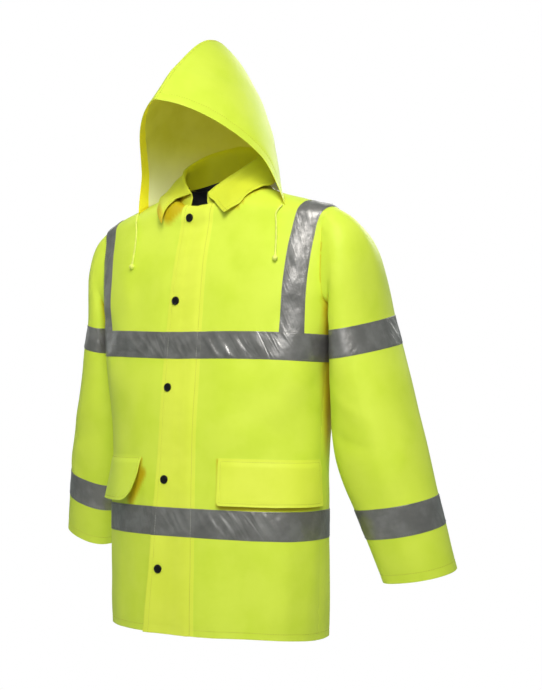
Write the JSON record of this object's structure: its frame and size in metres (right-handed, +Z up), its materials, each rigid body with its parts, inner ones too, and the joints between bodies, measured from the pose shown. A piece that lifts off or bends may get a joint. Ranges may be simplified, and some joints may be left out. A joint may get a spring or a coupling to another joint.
{
  "type": "hi-vis work jacket",
  "caption": "Hooded high-visibility waterproof work jacket in yellow, with grey reflective tape, a snap-fastened storm flap, pocket flaps and a shirt collar, in its worn shape.",
  "frame": {"origin": "the middle of the neck at the level of the shoulder line, where the wearer's shoulders or a hanger hold the jacket up", "axes": "+Z up along the wearer, the jacket's front faces -Y, +X towards the wearer's left"},
  "size_m": [0.8288, 0.3525, 1.0633],
  "materials": {
    "hi_vis_cloth": "coated woven cloth, slight sheen",
    "reflective_tape": "smooth reflective tape, soft silver sheen",
    "dark_lining": "dull woven lining",
    "black_snap": "semi-gloss",
    "cord": "braided cord, dull"
  },
  "bodies": {
    "root": {"front_left": "hi_vis_cloth", "front_right": "hi_vis_cloth", "back": "hi_vis_cloth", "sleeve_left": "hi_vis_cloth", "sleeve_right": "hi_vis_cloth", "collar": "hi_vis_cloth", "hood_left": "hi_vis_cloth", "hood_right": "hi_vis_cloth", "placket": "hi_vis_cloth", "pocket_flap_left": "hi_vis_cloth", "pocket_flap_right": "hi_vis_cloth", "neck_lining": "dark_lining", "tape_shoulder_left": "reflective_tape", "tape_shoulder_right": "reflective_tape", "tape_chest": "reflective_tape", "tape_chest_placket": "reflective_tape", "tape_hem": "reflective_tape", "tape_hem_placket": "reflective_tape", "tape_sleeve_upper_left": "reflective_tape", "tape_sleeve_upper_right": "reflective_tape", "tape_sleeve_lower_left": "reflective_tape", "tape_sleeve_lower_right": "reflective_tape", "snap_1": "black_snap", "snap_2": "black_snap", "snap_3": "black_snap", "snap_4": "black_snap", "snap_5": "black_snap", "cord_left": "cord", "cord_right": "cord"}
  },
  "joints": []
}
